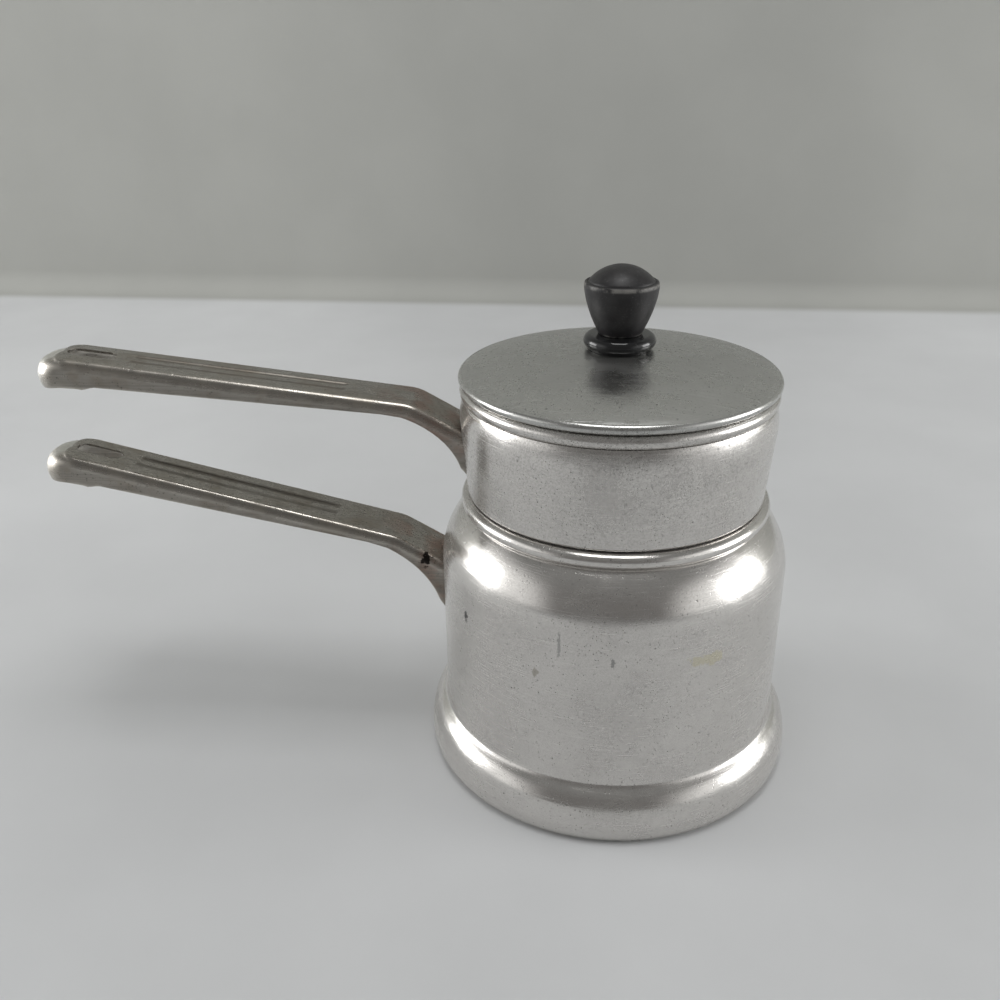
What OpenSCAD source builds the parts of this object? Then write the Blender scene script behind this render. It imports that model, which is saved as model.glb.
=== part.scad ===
// Small double boiler: a lower pot for water, an inset pan that hangs in its
// neck, and a lid. Millimetres, +Z up. The origin is on the pot's axis at the
// level of the surface that the foot stands on. Both handles point to -X.

/* [Lower pot] */
// Outer radius of the straight wall
pot_r = 57.1; // [54:0.1:60]
// Outer radius of the swollen foot band
foot_r = 63; // [62:0.1:66]
// Height of the foot band, where the straight wall starts
foot_h = 19.1; // [17:0.1:22]
// Height of the neck bead's top
neck_z = 95.8; // [93:0.1:100]
// Radius of the arc that turns the wall in to the neck
shoulder_r = 25.1; // [24:0.1:27]
// Thickness of the aluminium sheet of both pots
sheet_t = 1; // [0.8:0.1:1.2]

/* [Inset pan] */
// Height of the pan's rim above the neck bead's top
pan_rise = 36.6; // [34:0.1:44]
// Outer radius just above the neck
pan_low_r = 48.1; // [47.6:0.1:48.4]
// Outer radius of the slight swell below the rim
pan_swell_r = 50; // [49.4:0.1:50.4]
// Outer radius of the lower body that hangs inside the pot
pan_body_r = 45.9; // [45:0.1:46]
// Depth of the lower body below the neck bead's top
pan_drop = 43; // [30:1:60]
// Turn of the inset in the neck, from the lower handle toward -Y
inset_turn = 1; // [-6:0.5:6]

/* [Lid and knob] */
// Outer radius of the lid's rolled edge
lid_r = 50.3; // [50:0.1:52]
// Rise of the lid's dome from its edge to its middle
dome_h = 7.2; // [6:0.1:10]
// Thickness of the lid sheet
lid_t = 0.9; // [0.7:0.1:1.1]
// Outer radius of the knob's rim
knob_r = 11.4; // [11:0.1:13]
// Height of the knob above its base ring, without the cap's dome
knob_h = 16; // [15:0.1:20]
// Outer radius of the ring under the knob
ring_r = 11.2; // [10.5:0.1:12]

/* [Handles] */
// Length of a handle's straight run, from its bend to its tip
handle_run = 125.3; // [110:0.1:135]
// Width of a handle
handle_w = 20.4; // [19:0.1:21]
// Thickness of the handle sheet
handle_t = 0.9; // [0.8:0.1:1]
// Slope of the lower handle's straight run, in degrees
pot_handle_rise = 12.6; // [10:0.1:15]
// Slope of the inset handle's straight run, in degrees
inset_handle_rise = 6.4; // [5:0.1:10]
// Length of the hang slot
slot_l = 16; // [14:0.5:18]
// Width of the hang slot
slot_w = 6.4; // [5:0.1:7]
// Diameter of a rivet's shank
rivet_d = 4; // [3:0.1:4.2]

/* [Hidden] */
$fn = 96;

// Heights and radii worked out from the driving dimensions
contact_r = foot_r - 3.4;
bead_in_r = 46.5;
neck_bead_r = 2.5;
neck_bead_c = [47.75, neck_z - neck_bead_r];
shoulder_z = neck_z - 24.2;
shoulder_c = [pot_r - shoulder_r, shoulder_z];
shoulder_end = 47.6;
seat_gap = 0.25;
rim_z = neck_z + pan_rise;
rim_bead_r = 2.2;
rim_bead_c = [47.75, rim_z - rim_bead_r];
rim_in_r = 47.2;
ledge_z = neck_z + seat_gap;
pan_floor_z = neck_z - pan_drop;
lid_z = rim_z + 0.25;
lid_edge_r = 1.5;
lid_edge_a = 71;
lid_edge_c = [lid_r - lid_edge_r, lid_z + lid_edge_r];
skirt_r = rim_in_r - 0.5;
skirt_h = 6;
dome_r = lid_edge_c[0] + lid_edge_r * cos(lid_edge_a);
dome_z = lid_edge_c[1] + lid_edge_r * sin(lid_edge_a);
apex_z = dome_z + dome_h;
dome_R = (dome_r * dome_r + dome_h * dome_h) / (2 * dome_h);
ring_h = 4.5;
ring_bend_r = 2.15;
knob_z = apex_z + ring_h;
knob_foot_r = 6.6;
cap_h = 5;
cap_r = 10.2;
screw_d = 3.5;
screw_hole_r = 1.95;
screw_in = 9;
washer_h = 0.8;
washer_r = 4.5;

// The two walls that carry a handle, each as its lower and upper [radius, height]
pot_wall = [[pot_r, foot_h + 2], [pot_r, shoulder_z]];
pan_wall = [[pan_low_r, ledge_z + 1.2], [pan_swell_r - 0.2, rim_z - 14.4]];

// Handle root, as distances from the pot wall and heights on it
root_slope = 29;
bend_q = 15.2;
bend_r = 16;
pot_root_z = neck_z - 26.2;
inset_root_z = rim_z - 15.2;
pot_tail = 17.3;
inset_tail = 14.6;
rivet_drop = [4.4, 11];
rivet_in = 0.775;
rivet_out = 0.75;
crease_in = 1.3;
crease_drop = 0.35;
shoulder_drop = 2.7;
leg_drop = 3.8;
bend_lap = 0.3;
bend_proud = 0.02;
leg_inset = 0.03;
root_lead = 5;
nose_l = 17;
nose_r = 9.5;
nose_roll = 7;
nose_depth = 11.6;
nose_back = 9.1;
flute_w = 6;
flute_d = 0.35;

// Points on an arc about c, from angle a0 to a1
function arc(c, r, a0, a1, n = 8) =
    [for (i = [0:n]) let (a = a0 + (a1 - a0) * i / n) c + r * [cos(a), sin(a)]];

// Points on a quadratic curve with one control point
function curve(a, b, c, n = 8) =
    [for (i = [0:n]) let (t = i / n) (1 - t) * (1 - t) * a + 2 * t * (1 - t) * b + t * t * c];

// The lower pot's outside from the foot to the neck
function pot_outside() = concat(
    [[0, 0], [contact_r, 0]],
    curve([contact_r + 0.6, 0.05], [foot_r - 0.3, 0.6], [foot_r, 5.2], 5),
    curve([foot_r, 5.6], [foot_r - 0.3, 14.2], [pot_r + 1.4, foot_h - 1.4], 8),
    curve([pot_r + 1.1, foot_h - 1.1], [pot_r, foot_h - 0.1], [pot_r, foot_h + 1.6], 4),
    arc(shoulder_c, shoulder_r, 0, shoulder_end, 14),
    [neck_bead_c + [1.2, 0]]
);

function pot_inside() = concat(
    [neck_bead_c - [0.5, 0], neck_bead_c + [-0.1, -2.4]],
    arc(shoulder_c, shoulder_r - sheet_t, shoulder_end, 0, 14),
    curve([pot_r - sheet_t, foot_h + 1.6], [pot_r - sheet_t, foot_h - 0.4], [pot_r + 0.3, foot_h - 2], 4),
    curve([pot_r + 0.6, foot_h - 2.3], [foot_r - 1.3, 14], [foot_r - sheet_t, 5.6], 8),
    curve([foot_r - sheet_t, 5], [foot_r - 1.3, 1.4], [contact_r, sheet_t + 0.2], 5),
    [[0, sheet_t + 0.2]]
);

// The rolled bead is a round wire shape, closed on the sheet
module bead(c, r, inner) {
    intersection() {
        translate(c) circle(r);
        translate([inner, c[1] - r]) square([2 * r + 4, 2 * r]);
    }
}

module lower_pot() {
    color([0.72, 0.72, 0.71])
    difference() {
        union() {
            rotate_extrude() polygon(concat(pot_outside(), pot_inside()));
            rotate_extrude() bead(neck_bead_c, neck_bead_r, bead_in_r);
        }
        rivet_holes(pot_wall, pot_root_z);
    }
}

// The inset pan's outside from the rim groove down to its floor
function pan_outside() = concat(
    [[rim_in_r, rim_z - 2.4], [pan_swell_r - 0.8, rim_z - 4.8]],
    curve([pan_swell_r - 0.7, rim_z - 5.2], [pan_swell_r + 0.4, rim_z - 9.6],
        [pan_swell_r - 0.15, rim_z - 14]),
    [pan_wall[1], pan_wall[0]],
    arc([pan_low_r - 1.2, ledge_z + 1.2], 1.2, -15, -90, 4),
    [[pan_body_r, ledge_z], [pan_body_r, pan_floor_z + 6]],
    arc([pan_body_r - 6, pan_floor_z + 6], 6, -12, -90),
    [[0, pan_floor_z]]
);

function pan_inside() = concat(
    [[0, pan_floor_z + sheet_t]],
    arc([pan_body_r - 6, pan_floor_z + 6], 6 - sheet_t, -90, 0),
    [[pan_body_r - sheet_t, ledge_z + sheet_t], [pan_low_r - 1.8, ledge_z + sheet_t]],
    [[wall_at(pan_wall, ledge_z + 2) - sheet_t, ledge_z + 2], pan_wall[1] - [sheet_t, 0]],
    curve([pan_swell_r - sheet_t - 0.15, rim_z - 14], [pan_swell_r - sheet_t + 0.4, rim_z - 9.6],
        [pan_swell_r - sheet_t - 0.7, rim_z - 5.2]),
    [[rim_in_r, rim_z - 4]]
);

module inset_pan() {
    color([0.72, 0.72, 0.71])
    rotate([0, 0, inset_turn])
    difference() {
        union() {
            rotate_extrude() polygon(concat(pan_outside(), pan_inside()));
            rotate_extrude() bead(rim_bead_c, rim_bead_r, rim_in_r);
        }
        rivet_holes(pan_wall, inset_root_z);
    }
}

// The solid inside a wall, made larger by grow
module wall_core(wall, grow) {
    translate([0, 0, wall[0][1]])
        cylinder(r1 = wall[0][0] + grow, r2 = wall[1][0] + grow, h = wall[1][1] - wall[0][1]);
}

// The radius of a wall at height z
function wall_at(wall, z) = wall[0][0]
    + (wall[1][0] - wall[0][0]) * (z - wall[0][1]) / (wall[1][1] - wall[0][1]);

// The two rivet holes of a handle root, bored square to the pot's axis
module rivet_holes(wall, root_z) {
    for (drop = rivet_drop)
        translate([-wall_at(wall, root_z) - 6, 0, root_z - drop])
            rotate([0, 90, 0])
                cylinder(d = rivet_d, h = 12);
}

// One rivet: a low dome outside on the handle's root, a flat head inside
module rivet(wall, root_z, drop) {
    in_r = rivet_d * rivet_in;
    out_r = rivet_d * rivet_out;
    z = root_z - drop;
    r = wall_at(wall, z);
    color([0.66, 0.66, 0.65]) {
        translate([-r - handle_t - 0.6, 0, z])
            rotate([0, 90, 0])
                cylinder(d = rivet_d, h = handle_t + sheet_t + 1.2);
        difference() {
            translate([-r - handle_t + 0.6, 0, z])
                rotate([0, -90, 0])
                    rotate_extrude()
                        polygon(concat([[0, 0]], curve([out_r, 0], [out_r, 1.9], [0, 2.1])));
            wall_core(wall, handle_t);
        }
        intersection() {
            translate([-r + sheet_t - 0.8, 0, z])
                rotate([0, 90, 0])
                    cylinder(r1 = in_r, r2 = in_r - 0.5, h = 2);
            wall_core(wall, -sheet_t);
        }
    }
}

module pot_rivet_upper() {
    rivet(pot_wall, pot_root_z, rivet_drop[0]);
}

module pot_rivet_lower() {
    rivet(pot_wall, pot_root_z, rivet_drop[1]);
}

module inset_rivet_upper() {
    rotate([0, 0, inset_turn]) rivet(pan_wall, inset_root_z, rivet_drop[0]);
}

module inset_rivet_lower() {
    rotate([0, 0, inset_turn]) rivet(pan_wall, inset_root_z, rivet_drop[1]);
}

// Half of the channel's outline across the handle, from its middle to the foot
// of the leg, moved in by t: a nearly flat back, a chamfered shoulder, a leg
function half_section(t, leg) = [
    [0, -t],
    [handle_w / 2 - crease_in - t * 0.6, -crease_drop - t],
    [handle_w / 2 - leg_inset - t, -shoulder_drop - t * 0.4],
    [handle_w / 2 - leg_inset - t, -leg]
];

function flip(points) = [for (i = [len(points) - 1:-1:0]) [-points[i][0], points[i][1]]];

// The back and shoulders as a bent sheet, without the deep sides, thicker by grow
// on both faces
module cap_section(grow = 0) {
    outer = half_section(-grow, leg_drop + grow);
    inner = half_section(handle_t + grow, leg_drop + grow);
    polygon(concat(outer, [for (i = [3:-1:1]) inner[i]], [for (p = inner) [-p[0], p[1]]], flip(outer)));
}

// Runs its 2-D child along the handle's straight run, from u0 to u1 past the bend
module along(bend, slope, u0, u1) {
    translate([bend[0], 0, bend[1]])
        rotate([0, -slope, 0])
            translate([u0, 0, 0])
                rotate([90, 0, 90])
                    linear_extrude(u1 - u0) children();
}

// A point of the side view: u along a run of the given slope, v square to it
function side_point(bend, slope, u, v) =
    bend + [u * cos(slope) - v * sin(slope), u * sin(slope) + v * cos(slope)];

// The side view of one flange: under the shoulder above, the tapering edge and
// the tail's hollow curve below
function flange_outline(wall, root_z, bend, rise, tail) =
    let (
        r = wall_at(wall, root_z - tail),
        c = side_point(bend, rise, bend_r * tan((root_slope - rise) / 2), -bend_r),
        top = leg_drop - 0.9,
        hollow = [r + 3.3, root_z - 1.5 - (tail - 14.6) * 0.75]
    )
    concat(
        [side_point(bend, rise, handle_run - nose_l, -nose_back)],
        [side_point(bend, rise, handle_run - nose_l, -top)],
        arc(c, bend_r - top, 90 + rise, 90 + root_slope, 5),
        [side_point(bend, root_slope, -bend_q / cos(root_slope) - 3, -top)],
        [[r - 3, root_z - tail]],
        curve([r + 0.1, root_z - tail], hollow, side_point(bend, root_slope, 0.5, -5), 10),
        [side_point(bend, rise, 7, -4.1), side_point(bend, rise, handle_run - 22, -7.9)],
        [side_point(bend, rise, handle_run - 18, -nose_back - 0.2)]
    );

// Where the nose starts: its inner form reaches a little further back
function nose_start(t) = handle_run - nose_l - (t > 0 ? 1 : 0);

// The nose seen from above, inset by t: round corners on a short flat front
module nose_plan(t) {
    c = [handle_run - nose_r, handle_w / 2 - nose_r];
    front = arc(c, nose_r - t, 90, 0, 6);
    polygon(concat(
        [[nose_start(t), handle_w / 2 - t]],
        front,
        [for (i = [len(front) - 1:-1:0]) [front[i][0], -front[i][1]]],
        [[nose_start(t), -handle_w / 2 + t]]
    ));
}

// The nose seen from the side, rolled over the front. Its own lower edge runs
// down toward the front; its inner form is open below
module nose_side(t) {
    open_z = -nose_depth - 3;
    lower = t > 0
        ? [[handle_run - 3, open_z], [nose_start(t), open_z]]
        : [[handle_run - 9.5, 1.2 - nose_depth], [handle_run - 12.5, -nose_back - 0.3],
            [nose_start(t), -nose_back]];
    polygon(concat(
        [[nose_start(t), 0.5 - t], [handle_run - nose_roll - 2, 0.5 - t]],
        arc([handle_run - nose_roll, -nose_roll], nose_roll - t, 75, -42, 8),
        lower
    ));
}

// The nose seen along the handle, with its shoulders chamfered as on the back
module nose_front(t) {
    half = half_section(t, nose_depth + 4);
    polygon(concat(half, flip(half)));
}

// The nose as a solid, smaller by t all round
module nose(t) {
    intersection() {
        translate([0, 0, -20]) linear_extrude(22) nose_plan(t);
        translate([0, handle_w, 0]) rotate([90, 0, 0]) linear_extrude(2 * handle_w) nose_side(t);
        translate([handle_run - nose_l - 2, 0, 0])
            rotate([90, 0, 90])
                linear_extrude(nose_l + 3) nose_front(t);
    }
}

// Turns its child from the side view's plane into a plate on each side
module flanges(outline) {
    for (y = [handle_w / 2, -handle_w / 2 + handle_t])
        translate([0, y, 0])
            rotate([90, 0, 0])
                linear_extrude(handle_t) polygon(outline);
}

// The plate that lies on the pot's wall under the channel's end
module root_plate(wall, root_z, tail) {
    intersection() {
        wall_core(wall, handle_t);
        translate([wall_at(wall, root_z) - 5, -handle_w / 2 + 0.4, root_z - tail + 0.8])
            cube([10, handle_w - 0.8, tail - 1.4]);
    }
}

// A stamped channel handle that points to -X and lies on the given wall
module handle(wall, root_z, rise, tail) {
    bend = [wall_at(wall, root_z) + bend_q, root_z + bend_q * tan(root_slope)];
    tangent = bend_r * tan((root_slope - rise) / 2);
    color([0.56, 0.54, 0.51])
    rotate([0, 0, 180])
    difference() {
        union() {
            along(bend, rise, tangent - bend_lap, handle_run - nose_l + 0.2) cap_section();
            along(bend, root_slope, -bend_q / cos(root_slope) - root_lead, bend_lap - tangent) cap_section();
            bent_cap(side_point(bend, rise, tangent, -bend_r), rise);
            flanges(flange_outline(wall, root_z, bend, rise, tail));
            root_plate(wall, root_z, tail);
            translate([bend[0], 0, bend[1]])
                rotate([0, -rise, 0])
                    difference() {
                        nose(0);
                        nose(handle_t);
                    }
        }
        wall_core(wall, 0.02);
        along(bend, rise, 22, handle_run - 30) flute_section();
        hang_slot(bend, rise, handle_run - 17.6);
        rotate([0, 0, 180]) rivet_holes(wall, root_z);
    }
}

// The back where it bends from the root's slope into the straight run
module bent_cap(centre, rise) {
    translate([centre[0], 0, centre[1]])
        rotate([90, 0, 0])
            rotate([0, 0, 90 + rise])
                rotate_extrude(angle = root_slope - rise)
                    translate([bend_r, 0]) rotate(-90) cap_section(bend_proud);
}

// The hang slot through the back, with round ends
module hang_slot(bend, rise, slot_u) {
    translate([bend[0], 0, bend[1]])
        rotate([0, -rise, 0])
            translate([slot_u, 0, -4])
                linear_extrude(6) {
                    square([slot_l - slot_w, slot_w], center = true);
                    for (end = [-1, 1])
                        translate([end * (slot_l - slot_w) / 2, 0]) circle(d = slot_w);
                }
}

// The shallow flute down the middle of the back
module flute_section() {
    polygon([[-flute_w / 2, 0.2], [-flute_w / 2 + 0.4, -flute_d], [0, -flute_d * 1.25],
        [flute_w / 2 - 0.4, -flute_d], [flute_w / 2, 0.2]]);
}

module pot_handle() {
    handle(pot_wall, pot_root_z, pot_handle_rise, pot_tail);
}

module inset_handle() {
    rotate([0, 0, inset_turn]) handle(pan_wall, inset_root_z, inset_handle_rise, inset_tail);
}

// Height of the lid's top surface at radius r
function dome_at(r) = apex_z - dome_R + sqrt(dome_R * dome_R - r * r);

module lid() {
    steps = 12;
    inner_r = skirt_r - lid_t;
    color([0.6, 0.6, 0.6])
    rotate_extrude()
        polygon(concat(
            [for (i = [0:steps])
                let (r = screw_hole_r + (dome_r - screw_hole_r) * i / steps) [r, dome_at(r)]],
            arc(lid_edge_c, lid_edge_r, lid_edge_a - 12, -90, 12),
            [[skirt_r, lid_z], [skirt_r, lid_z - skirt_h], [inner_r, lid_z - skirt_h]],
            [for (i = [steps:-1:0])
                let (r = screw_hole_r + (inner_r - screw_hole_r) * i / steps) [r, dome_at(r) - lid_t]]
        ));
}

// The glossy ring that the knob stands on, hollowed to lie on the dome
module knob_base() {
    top = knob_z - ring_bend_r;
    color([0.03, 0.03, 0.03])
    rotate_extrude()
        polygon(concat(
            [for (r = [screw_hole_r, 4, 7, ring_r - 1.4]) [r, dome_at(r) + 0.02]],
            arc([ring_r - ring_bend_r, top], ring_bend_r, -55, 90, 10),
            [[screw_hole_r, knob_z]]
        ));
}

// The cup-shaped grip and its domed cap, one turned piece with a blind hole
module knob() {
    rim_h = knob_h - 1;
    cap_R = (cap_r * cap_r + cap_h * cap_h) / (2 * cap_h);
    cap_a = asin(cap_r / cap_R);
    color([0.07, 0.07, 0.07])
    rotate_extrude()
        polygon(concat(
            [[0, knob_z + screw_in], [screw_d / 2, knob_z + screw_in], [screw_d / 2, knob_z + 0.02]],
            [[knob_foot_r - 0.1, knob_z + 0.02]],
            curve([knob_foot_r + 0.1, knob_z + 0.3], [knob_r - 0.5, knob_z + 8.3],
                [knob_r, knob_z + rim_h - 0.6], 12),
            curve([knob_r, knob_z + rim_h - 0.2], [knob_r, knob_z + knob_h - 0.1],
                [cap_r + 0.5, knob_z + knob_h], 5),
            arc([0, knob_z + knob_h - cap_R + cap_h], cap_R, 90 - cap_a, 90, 12)
        ));
}

module knob_washer() {
    z = dome_at(washer_r) - lid_t - 0.02;
    color([0.7, 0.7, 0.68])
    translate([0, 0, z - washer_h])
        difference() {
            cylinder(r = washer_r, h = washer_h);
            translate([0, 0, -1]) cylinder(r = screw_hole_r, h = washer_h + 2);
        }
}

// A slotted pan-head screw, driven from below
module knob_screw() {
    z = dome_at(washer_r) - lid_t - washer_h - 0.04;
    head_r = 3.3;
    head_h = 2.1;
    color([0.6, 0.6, 0.58])
    difference() {
        union() {
            translate([0, 0, z - head_h]) cylinder(r1 = head_r - 0.5, r2 = head_r, h = head_h);
            translate([0, 0, z - 0.5]) cylinder(d = screw_d, h = knob_z + screw_in - 0.4 - z + 0.5);
        }
        translate([-head_r - 1, -0.45, z - head_h - 0.1]) cube([2 * head_r + 2, 0.9, 1.1]);
    }
}

lower_pot();
pot_handle();
pot_rivet_upper();
pot_rivet_lower();
inset_pan();
inset_handle();
inset_rivet_upper();
inset_rivet_lower();
lid();
knob_base();
knob();
knob_washer();
knob_screw();
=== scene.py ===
"""Dresses the packed double boiler: turned aluminium pots and lid, stamped
handles and a black knob. Outlines are in millimetres round the pots' axis, and
meshes and materials in metres, in the frame of the packed model."""

import math
from types import SimpleNamespace

import bpy
from mathutils import Matrix, Vector


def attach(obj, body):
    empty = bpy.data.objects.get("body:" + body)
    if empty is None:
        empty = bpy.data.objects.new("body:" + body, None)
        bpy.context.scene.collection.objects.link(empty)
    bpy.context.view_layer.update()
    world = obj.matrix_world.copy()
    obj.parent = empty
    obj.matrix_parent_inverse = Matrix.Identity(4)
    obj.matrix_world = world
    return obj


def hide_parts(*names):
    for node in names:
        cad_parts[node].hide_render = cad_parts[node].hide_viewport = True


bl_info = {
    "name": "Double boiler",
    "version": (1, 0, 0),
    "blender": (4, 5, 0),
    "location": "3D View > Sidebar > Boiler",
    "description": "Builds the visible pieces of a small double boiler",
    "category": "Object",
}

MM = 0.001
# Steps of a full turn of the spun pieces
AROUND = 192

# Sizes that several pieces share, in millimetres and degrees: the gap between
# two pieces that sit on each other, where both beads' middles lie, the radii of
# the beads, heights below the neck and the rim, the lid's edge, the screw hole
SEAT_GAP = 0.25
BEAD_AT = 47.75
NECK_BEAD = 2.5
RIM_BEAD = 2.2
SHOULDER_DROP = 24.2
CONE_DROP = 14.4
LID_EDGE = 1.5
LID_EDGE_TURN = 71
SCREW_HOLE = 1.95

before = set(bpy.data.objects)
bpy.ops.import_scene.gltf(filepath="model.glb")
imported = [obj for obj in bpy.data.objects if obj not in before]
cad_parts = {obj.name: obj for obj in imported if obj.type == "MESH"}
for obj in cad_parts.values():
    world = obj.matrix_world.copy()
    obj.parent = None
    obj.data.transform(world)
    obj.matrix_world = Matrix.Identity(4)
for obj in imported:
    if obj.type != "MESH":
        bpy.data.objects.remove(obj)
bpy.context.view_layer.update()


# Settings


def number(label, note, default, **limits):
    return bpy.props.FloatProperty(name=label, description=note, default=default, **limits)


def length(label, note, default):
    """A length, given in millimetres and stored in metres."""
    return number(label, note, default * MM, unit="LENGTH", precision=5)


def angle(label, note, default):
    return number(label, note, math.radians(default), subtype="ANGLE")


def power(label, note, default):
    return number(label, note, default, min=0, unit="POWER")


def share(label, note, default):
    return number(label, note, default, min=0, max=1, subtype="FACTOR")


def colour(label, note, default):
    return bpy.props.FloatVectorProperty(
        name=label, description=note, default=default, min=0, max=1, subtype="COLOR"
    )


class PotSizes(bpy.types.PropertyGroup):
    """Sizes of the lower pot."""

    wall_r: length("Wall radius", "Outer radius of the straight wall", 57.1)
    foot_r: length("Foot radius", "Outer radius of the foot band", 63)
    foot_h: length("Foot height", "Height where the wall starts", 19.1)
    neck_z: length("Neck height", "Height of the neck bead's top", 95.8)
    shoulder_r: length("Shoulder arc", "Radius of the shoulder's arc", 25.1)
    sheet_t: length("Sheet", "Thickness of both pots' sheet", 1)


class PanSizes(bpy.types.PropertyGroup):
    """Sizes of the inset pan."""

    rim_z: length("Rim height", "Height of the rim bead's top", 132.4)
    low_r: length("Low radius", "Outer radius just above the neck", 48.1)
    swell_r: length("Swell radius", "Outer radius of the swell", 50)
    body_r: length("Body radius", "Radius of the body in the pot", 45.9)
    floor_z: length("Floor height", "Height of the pan's underside", 52.8)
    turn: angle("Turn", "Turn of the inset in the neck", 1)


class LidSizes(bpy.types.PropertyGroup):
    """Sizes of the lid and its knob."""

    edge_r: length("Edge radius", "Outer radius of the lid's edge", 50.3)
    dome_h: length("Dome", "Rise of the dome above its edge", 7.2)
    sheet_t: length("Sheet", "Thickness of the lid's sheet", 0.9)
    ring_r: length("Ring radius", "Outer radius of the knob's ring", 11.2)
    knob_r: length("Knob radius", "Outer radius of the knob's rim", 11.4)
    knob_h: length("Knob height", "Height of the knob's cup", 16)


class HandleSizes(bpy.types.PropertyGroup):
    """Sizes that both handles share, and the slope of each."""

    run: length("Run", "Length from the bend to the tip", 125.3)
    width: length("Width", "Width of a handle", 20.4)
    sheet_t: length("Sheet", "Thickness of the handles' sheet", 0.9)
    slot_l: length("Slot length", "Length of the hang slot", 16)
    slot_w: length("Slot width", "Width of the hang slot", 6.4)
    pot_rise: angle("Lower slope", "Slope of the lower handle", 12.6)
    inset_rise: angle("Upper slope", "Slope of the inset's handle", 6.4)


class Finishes(bpy.types.PropertyGroup):
    """Colours and wear of the finishes."""

    pot: colour("Pot metal", "Aluminium of both pots", (0.68, 0.66, 0.635))
    lid: colour("Lid metal", "Aluminium of the lid", (0.53, 0.53, 0.513))
    handle: colour("Handle metal", "Worn plated steel", (0.37, 0.35, 0.318))
    knob: colour("Knob", "Matt black of the grip", (0.017, 0.016, 0.017))
    ring: colour("Ring", "Glossy black of the base ring", (0.012, 0.012, 0.013))
    rivet: colour("Rivets", "Dull aluminium of the rivets", (0.5, 0.5, 0.49))
    screw: colour("Screw", "Steel of the screw and washer", (0.55, 0.55, 0.53))
    wear: share("Wear", "How strongly scratches and spots show", 0.6)


class StageSettings(bpy.types.PropertyGroup):
    """Floor, light and camera."""

    floor: colour("Floor", "Colour of the pale floor", (0.6, 0.609, 0.617))
    # The wall's colour is darker than the floor's as painted shade.
    wall: colour("Wall", "Colour of the wall behind", (0.4, 0.404, 0.382))
    lamp: power("Windows", "Power of each of the two side lamps", 23.0)
    top_lamp: power("Top lamp", "Power of the lamp overhead", 7.5)
    depth: length("Depth", "Distance from the pots' axis to the wall", 640)
    lens: number("Lens", "Focal length on a 36 mm sensor", 36.0, unit="CAMERA")
    pitch: angle("Pitch", "How far the camera looks down", 25.191)
    yaw: angle("Yaw", "Turn of the camera toward -X", 7.144)
    roll: angle("Roll", "Roll of the camera", -0.797)


def in_mm(group):
    """The lengths of a group of settings, in millimetres."""
    kinds = group.bl_rna.properties
    return SimpleNamespace(
        **{
            name: getattr(group, name) / MM
            for name in type(group).__annotations__
            if kinds[name].unit == "LENGTH"
        }
    )


# Outlines


def arc(centre, radius, start, end, count):
    """Points on an arc in the plane of radius and height, angles in degrees."""
    turns = [math.radians(start + (end - start) * i / count) for i in range(count + 1)]
    x, z = centre
    return [(x + radius * math.cos(a), z + radius * math.sin(a)) for a in turns]


def curve(first, pull, last, count):
    """Points on a curve from first to last, drawn toward pull."""
    points = []
    for i in range(count + 1):
        t = i / count
        a, b, c = (1 - t) ** 2, 2 * t * (1 - t), t * t
        points.append(tuple(a * first[k] + b * pull[k] + c * last[k] for k in (0, 1)))
    return points


def line(first, last, count):
    """Points spread evenly from first to last."""
    return [
        tuple(first[k] + (last[k] - first[k]) * i / count for k in (0, 1))
        for i in range(count + 1)
    ]


def joined(*runs):
    """One outline from several runs, without repeated points."""
    points = []
    for run in runs:
        for p in run:
            if not points or math.dist(p, points[-1]) > 0.01:
                points.append(p)
    return points


# Modelling


def begin():
    """Leaves object mode with nothing selected."""
    if bpy.context.mode != "OBJECT":
        bpy.ops.object.mode_set(mode="OBJECT")
    bpy.ops.object.select_all(action="DESELECT")


def edit_all():
    """Enters or stays in edit mode, with everything selected."""
    bpy.ops.object.mode_set(mode="EDIT")
    bpy.ops.mesh.select_all(action="SELECT")


def close():
    """Turns the faces outwards and leaves edit mode."""
    bpy.ops.mesh.normals_make_consistent(inside=False)
    bpy.ops.object.mode_set(mode="OBJECT")


def drawn(name, outline, out):
    """Draws an outline point by point from one vertex, in the plane of the
    direction out and +Z, and leaves all of it selected in edit mode."""

    def spread(across, up):
        return (across * out[0] * MM, across * out[1] * MM, up * MM)

    begin()
    bpy.ops.mesh.primitive_plane_add(size=MM, location=spread(*outline[0]))
    piece = bpy.context.object
    piece.name = name
    bpy.ops.object.transform_apply(location=True)
    edit_all()
    bpy.ops.mesh.merge(type="CENTER")
    for here, there in zip(outline, outline[1:]):
        step = spread(there[0] - here[0], there[1] - here[1])
        bpy.ops.mesh.extrude_region_move(TRANSFORM_OT_translate={"value": step})
    edit_all()
    return piece


def turned(name, outline):
    """Spins an outline round the axis into a closed piece."""
    piece = drawn(name, outline, (1, 0))
    bpy.ops.mesh.spin(steps=AROUND, angle=math.tau, center=(0, 0, 0), axis=(0, 0, 1))
    edit_all()
    bpy.ops.mesh.remove_doubles(threshold=2e-6)
    close()
    return piece


def laid(name, along, across, place):
    """A grid whose crossings are laid where place(i, j) says, in millimetres."""
    begin()
    bpy.ops.mesh.primitive_grid_add(x_subdivisions=along, y_subdivisions=across, size=2)
    piece = bpy.context.object
    piece.name = name
    for vertex in piece.data.vertices:
        i = round((vertex.co.x + 1) / 2 * along)
        j = round((vertex.co.y + 1) / 2 * across)
        vertex.co = place(i, j) * MM
    piece.data.update()
    return piece


def apply(piece, kind, **settings):
    """Adds a modifier, sets it and applies it."""
    made = piece.modifiers.new(kind.title(), kind)
    for key, value in settings.items():
        setattr(made, key, value)
    bpy.context.view_layer.objects.active = piece
    bpy.ops.object.modifier_apply(modifier=made.name)


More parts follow.
